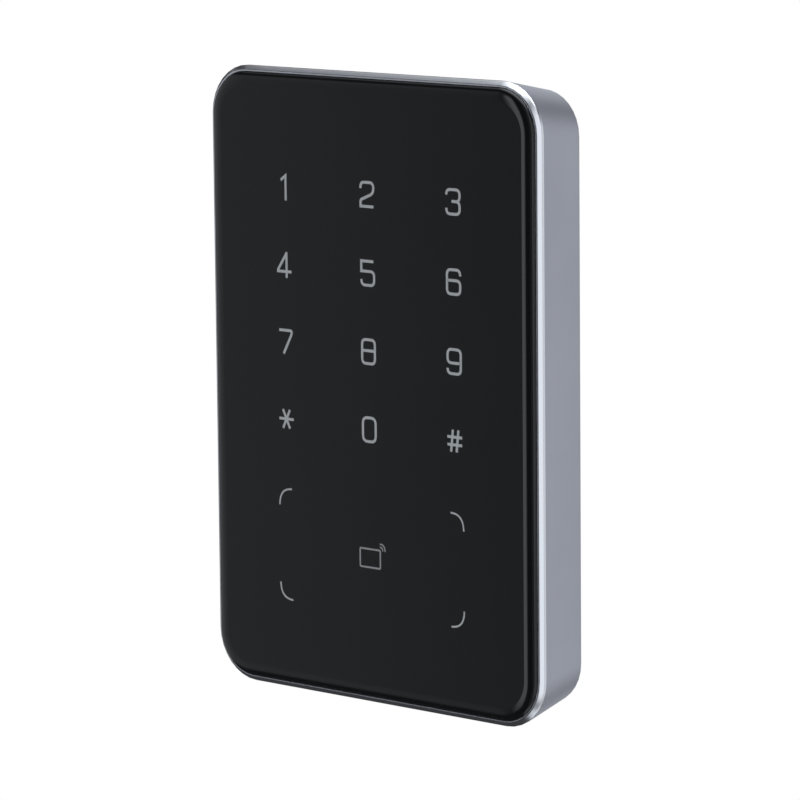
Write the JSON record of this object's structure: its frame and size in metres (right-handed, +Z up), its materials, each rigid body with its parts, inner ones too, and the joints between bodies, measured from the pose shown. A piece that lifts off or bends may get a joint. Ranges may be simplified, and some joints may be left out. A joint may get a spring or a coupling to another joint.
{
  "type": "keypad access reader",
  "caption": "Slim wall-mounted access reader with a black glass touch keypad over a card-reading area, in a silver metal frame on a hook-on wall plate.",
  "frame": {"origin": "middle of the wall plate's back face, on the wall", "axes": "+X to the right seen from the front, +Z up, -Y out of the wall towards the user; the wall is the plane y = 0"},
  "size_m": [0.086, 0.0164, 0.123],
  "materials": {
    "frame_metal": "fine sand-blasted satin, with a bright polished chamfer round the face",
    "front_glass": "black-backed tempered glass, glossy, opaque",
    "black_tape": "black foam bonding tape and printed film",
    "clear_acrylic": "clear acrylic light guide",
    "led_white": "white lamp body",
    "board_green": "glass-fibre circuit board under green solder mask",
    "chip_black": "black moulded epoxy",
    "black_plastic": "black moulded plastic, fine texture",
    "coil_copper": "enamelled copper wire",
    "ferrite_grey": "dark grey ferrite",
    "bright_can": "bright metal can",
    "terminal_green": "green moulded plastic",
    "screw_steel": "bright zinc-plated steel",
    "seal_rubber": "dark grey rubber",
    "membrane_white": "white vent membrane",
    "plate_steel": "zinc-plated sheet steel"
  },
  "bodies": {
    "wall_bracket": {"wall_plate": "plate_steel", "cable_grommet": "seal_rubber", "press_nut": "screw_steel"},
    "reader": {"metal_frame": "frame_metal", "front_glass": "front_glass", "bonding_tape": "black_tape", "symbol_film": "black_tape", "light_guide": "clear_acrylic", "key_led_1": "led_white", "key_led_2": "led_white", "key_led_3": "led_white", "key_led_4": "led_white", "key_led_5": "led_white", "key_led_6": "led_white", "key_led_7": "led_white", "key_led_8": "led_white", "touch_board": "board_green", "main_board": "board_green", "touch_controller": "chip_black", "main_controller": "chip_black", "card_reader_chip": "chip_black", "bus_driver": "chip_black", "voltage_regulator": "chip_black", "sounder": "chip_black", "carrier_frame": "black_plastic", "rear_cover": "black_plastic", "board_header": "black_plastic", "tamper_switch_body": "black_plastic", "antenna_coil": "coil_copper", "ferrite_sheet": "ferrite_grey", "power_inductor": "ferrite_grey", "clock_crystal": "bright_can", "bulk_capacitor": "bright_can", "terminal_block": "terminal_green", "board_screw_1": "screw_steel", "board_screw_2": "screw_steel", "board_screw_3": "screw_steel", "board_screw_4": "screw_steel", "cover_screw_1": "screw_steel", "cover_screw_2": "screw_steel", "cover_screw_3": "screw_steel", "cover_screw_4": "screw_steel", "tamper_spring": "screw_steel", "perimeter_seal": "seal_rubber", "vent_membrane": "membrane_white"},
    "security_screw": {"security_screw": "screw_steel"},
    "tamper_plunger": {"tamper_plunger": "black_plastic"}
  },
  "joints": [
    {"name": "reader_swing", "type": "hinge", "parent": "wall_bracket", "child": "reader", "pos_m": [0, -0.0032, 0.056], "axis": [-1, 0, 0], "range_deg": [0, 22]},
    {"name": "security_screw_travel", "type": "slide", "parent": "wall_bracket", "child": "security_screw", "axis": [0, 0, -1], "range_m": [0, 0.003]},
    {"name": "tamper_press", "type": "slide", "parent": "reader", "child": "tamper_plunger", "axis": [0, 1, 0], "range_m": [0, 0.0015], "stiffness_N_per_m": 150, "springref_m": 0.004, "deforming": ["tamper_spring"]}
  ]
}
